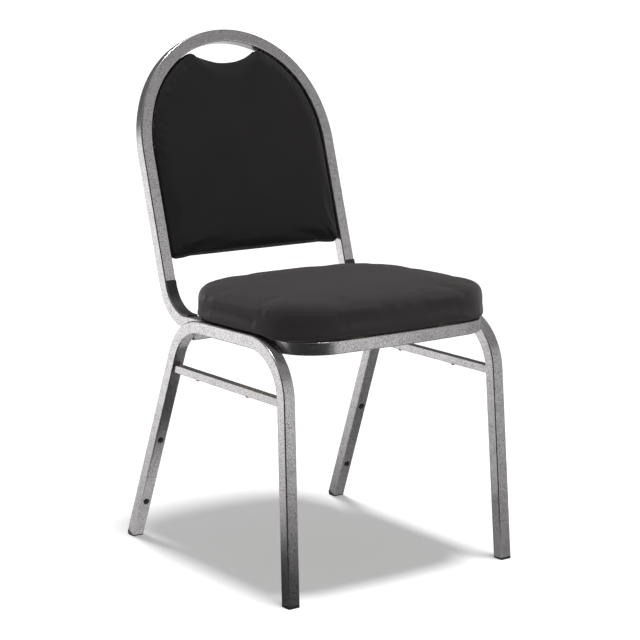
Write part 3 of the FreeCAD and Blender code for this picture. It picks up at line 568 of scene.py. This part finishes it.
def back_cushion():
    """The stuffed front of the back: crowned, with soft rims against the hoop."""
    outline = pad_outline(1.0 * MM)
    low, high = -2.1 * MM, 13.5 * MM
    # the back pad wears the darker copy of the seat's cloth, as painted shade
    piece = new_piece("back_cushion", prism("back_cushion", outline, low, high), SHADED_BACK_UPHOLSTERY)
    remesh(piece, 4.0 * MM)
    points = round_rims(coords(piece.data), outline, low, high, 1.0 * MM, 6.0 * MM)
    set_coords(piece.data, points)
    soften(piece, 3)
    inflate(piece, 3.5 * MM, coords(piece.data)[:, 2] < low + 3.0 * MM)
    set_coords(piece.data, drooped(coords(piece.data)))
    subdivide(piece)
    hollow(piece, pad_outline(4.4 * MM), -12.0 * MM, 7.3 * MM)
    piece.data.transform(hoop_matrix())
    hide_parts("back_cover", "back_foam")
    return piece


def drooped(points):
    """The slack cloth at the pad's two bottom corners hangs a little."""
    side = smooth_step((np.abs(points[:, 0]) - 130.0 * MM) / (35.0 * MM))
    low = np.clip(1 - (points[:, 1] - PAD_BOTTOM) / (30.0 * MM), 0, 1)
    points[:, 1] -= 3.5 * MM * side * low
    return points


def back_panel():
    """The thin padded panel that closes the back."""
    outline = pad_outline(1.6 * MM)
    low, high = -10.0 * MM, -6.6 * MM
    # the rear panel wears the darker copy of the seat's cloth, as painted shade
    piece = new_piece("back_rear_cushion", prism("back_rear_cushion", outline, low, high),
                      SHADED_BACK_UPHOLSTERY)
    remesh(piece, 2.5 * MM)
    points = round_rims(coords(piece.data), outline, low, high, 2.0 * MM, 0.5 * MM)
    set_coords(piece.data, points)
    soften(piece, 2)
    piece.data.shade_smooth()
    piece.data.transform(hoop_matrix())
    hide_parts("back_rear_panel")
    return piece


# ---------------------------------------------------------------- studio

FLOOR_GLOW = 0.27
WORLD_LIGHT, WORLD_WHITE = 0.30, 1.05
SUN_STRENGTH, SUN_SIZE = 2.6, math.radians(10.0)
# the mirrored room: its floor is dimmer within a few steps of the chair
ROOM_RADIUS, WALL_HEIGHT = 9.0, 7.0
NEAR_GLOW, ROOM_GLOW = 0.9, 2.0
NEAR_REACH, FAR_REACH = 0.2, 2.4
# grey levels by degrees round from +X, and by metres up the wall
BEHIND_ROUND = [(0, 0.16), (60, 0.45), (100, 0.85), (150, 0.85), (178, 0.02), (200, 0.0)]
BEHIND_UP = [(0.0, 1.0), (0.7, 1.0), (1.5, 0.08), (3.5, 0.08), (5.0, 0.25)]
AHEAD_ROUND = [(255, 0.0), (270, 0.03), (284, 0.26), (297, 0.62), (308, 0.32), (345, 0.25)]
AHEAD_UP = [(0.0, 1.0), (3.4, 1.0), (5.0, 0.5)]
FLAG_Z = 0.4


def make_camera():
    data = bpy.data.cameras.new("camera")
    data.sensor_width = 36.0
    data.lens = 113.89
    data.clip_end = 100.0
    camera = bpy.data.objects.new("camera", data)
    camera.location = (-2.04007, -2.88748, 1.09942)
    camera.rotation_euler = (math.radians(90.0 - 11.005), 0, math.radians(-35.597))
    scene.collection.objects.link(camera)
    scene.camera = camera


def stage_piece(name, mesh, material):
    piece = bpy.data.objects.new(name, mesh)
    piece.data.materials.append(material)
    scene.collection.objects.link(piece)
    return piece


def plain_floor():
    """A white floor that the lights and the world can brighten to paper white."""
    n = Nodes("studio_floor")
    tone = n.noise(3.0, 2.0)
    n.set(Base_Color=n.ramp(tone, [(0.3, (0.80, 0.80, 0.80)), (0.7, (0.82, 0.82, 0.82))]),
          Roughness=n.spread(tone, 0.9, 0.95), Emission_Color=(1.0, 1.0, 1.0, 1.0))
    n.shader.inputs["Specular IOR Level"].default_value = 0.0
    n.shader.inputs["Emission Strength"].default_value = FLOOR_GLOW
    return n.material


def surroundings():
    """What the frame mirrors: a bright floor and low wall behind on the left under a dark
    upper wall, a soft light in front on the right, darkness between, and a dimmer floor
    near the chair."""
    n = Nodes("surroundings")
    parts = n.add("ShaderNodeSeparateXYZ")
    n.link(n.place, parts.inputs[0])
    x, y, z = parts.outputs
    angle = n.maths("ARCTAN2", y, x)
    turn = n.maths("FRACT", n.maths("MULTIPLY_ADD", angle, 0.5 / math.pi, 1.0))
    rise = n.maths("DIVIDE", z, WALL_HEIGHT)
    behind = n.maths("MULTIPLY", grey_ramp(n, turn, BEHIND_ROUND, 360.0),
                     grey_ramp(n, rise, BEHIND_UP, WALL_HEIGHT))
    ahead = n.maths("MULTIPLY", grey_ramp(n, turn, AHEAD_ROUND, 360.0),
                    grey_ramp(n, rise, AHEAD_UP, WALL_HEIGHT))
    reach = n.maths("SQRT", n.maths("ADD", n.maths("MULTIPLY", x, x), n.maths("MULTIPLY", y, y)))
    near = n.add("ShaderNodeMapRange", interpolation_type="SMOOTHSTEP")
    n.link(reach, near.inputs["Value"])
    near.inputs["From Min"].default_value = NEAR_REACH
    near.inputs["From Max"].default_value = FAR_REACH
    near.inputs["To Min"].default_value = NEAR_GLOW
    near.inputs["To Max"].default_value = ROOM_GLOW
    glow = n.add("ShaderNodeEmission")
    n.link(n.maths("MULTIPLY", n.maths("ADD", behind, ahead), near.outputs["Result"]),
           glow.inputs["Strength"])
    output = next(node for node in n.tree.nodes if node.type == "OUTPUT_MATERIAL")
    n.link(glow.outputs[0], output.inputs["Surface"])
    return n.material


def grey_ramp(n, source, stops, whole):
    """Grey levels at places along 0..whole, read at a source that runs 0..1."""
    return n.ramp(source, [(place / whole, (v, v, v)) for place, v in stops])


def mirrored_only(piece):
    """A stage piece that only shiny surfaces see."""
    piece.visible_camera = False
    piece.visible_diffuse = False
    piece.visible_shadow = False
    piece.visible_transmission = False
    piece.visible_volume_scatter = False


def shading_only(piece):
    """A stage piece that nothing sees, which only casts a shadow."""
    mirrored_only(piece)
    piece.visible_glossy = False
    piece.visible_shadow = True


def flag():
    """A flat shade behind the seat, which joins the shadows of the seat and the back."""
    mesh = bpy.data.meshes.new("shadow_flag")
    half, rear = 0.19, 0.21
    corners = [(-half, 0.0), (half, 0.0), (half, rear), (-half, rear)]
    mesh.from_pydata([(x, y, FLAG_Z) for x, y in corners], [], [(0, 1, 2, 3)])
    return mesh


def round_room(name, radius, height, low):
    """A round wall about the chair with a floor in it."""
    steps = 48
    turns = [2 * math.pi * i / steps for i in range(steps)]
    ring = [(radius * math.cos(turn), radius * math.sin(turn)) for turn in turns]
    verts = [(x, y, low) for x, y in ring] + [(x, y, height) for x, y in ring]
    faces = [list(range(steps))]
    faces += [(i, (i + 1) % steps, (i + 1) % steps + steps, i + steps) for i in range(steps)]
    mesh = bpy.data.meshes.new(name)
    mesh.from_pydata(verts, [], faces)
    return mesh


def make_world():
    """White to the eye, softer as a light."""
    world = bpy.data.worlds.new("studio")
    world.use_nodes = True
    tree = world.node_tree
    background = tree.nodes["Background"]
    background.inputs["Color"].default_value = (1.0, 1.0, 1.0, 1.0)
    path = tree.nodes.new("ShaderNodeLightPath")
    strength = tree.nodes.new("ShaderNodeMapRange")
    tree.links.new(path.outputs["Is Camera Ray"], strength.inputs["Value"])
    strength.inputs["To Min"].default_value = WORLD_LIGHT
    strength.inputs["To Max"].default_value = WORLD_WHITE
    tree.links.new(strength.outputs["Result"], background.inputs["Strength"])
    scene.world = world


def make_studio():
    """The floor, the mirrored room, the shade, the world and one soft overhead sun."""
    size = 60.0
    mesh = bpy.data.meshes.new("floor")
    corners = [(-size, -size, 0), (size, -size, 0), (size, size, 0), (-size, size, 0)]
    mesh.from_pydata(corners, [], [(0, 1, 2, 3)])
    floor = stage_piece("floor", mesh, plain_floor())
    floor.visible_glossy = False
    room = round_room("mirrored_room", ROOM_RADIUS, WALL_HEIGHT, -4.0 * MM)
    mirrored_only(stage_piece("mirrored_room", room, surroundings()))
    shading_only(stage_piece("shadow_flag", flag(), plain_floor()))
    make_world()
    data = bpy.data.lights.new("overhead", "SUN")
    data.energy = SUN_STRENGTH
    data.angle = SUN_SIZE
    overhead = bpy.data.objects.new("overhead", data)
    overhead.location = (0, 0, 4)
    overhead.rotation_euler = (math.radians(3.0), math.radians(2.0), 0)
    scene.collection.objects.link(overhead)
    scene.view_settings.view_transform = "Standard"


make_camera()
make_studio()
finish_cad_nodes()
for made in (seat_cushion(), back_cushion(), back_panel()):
    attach(made, "root")

bpy.context.view_layer.update()
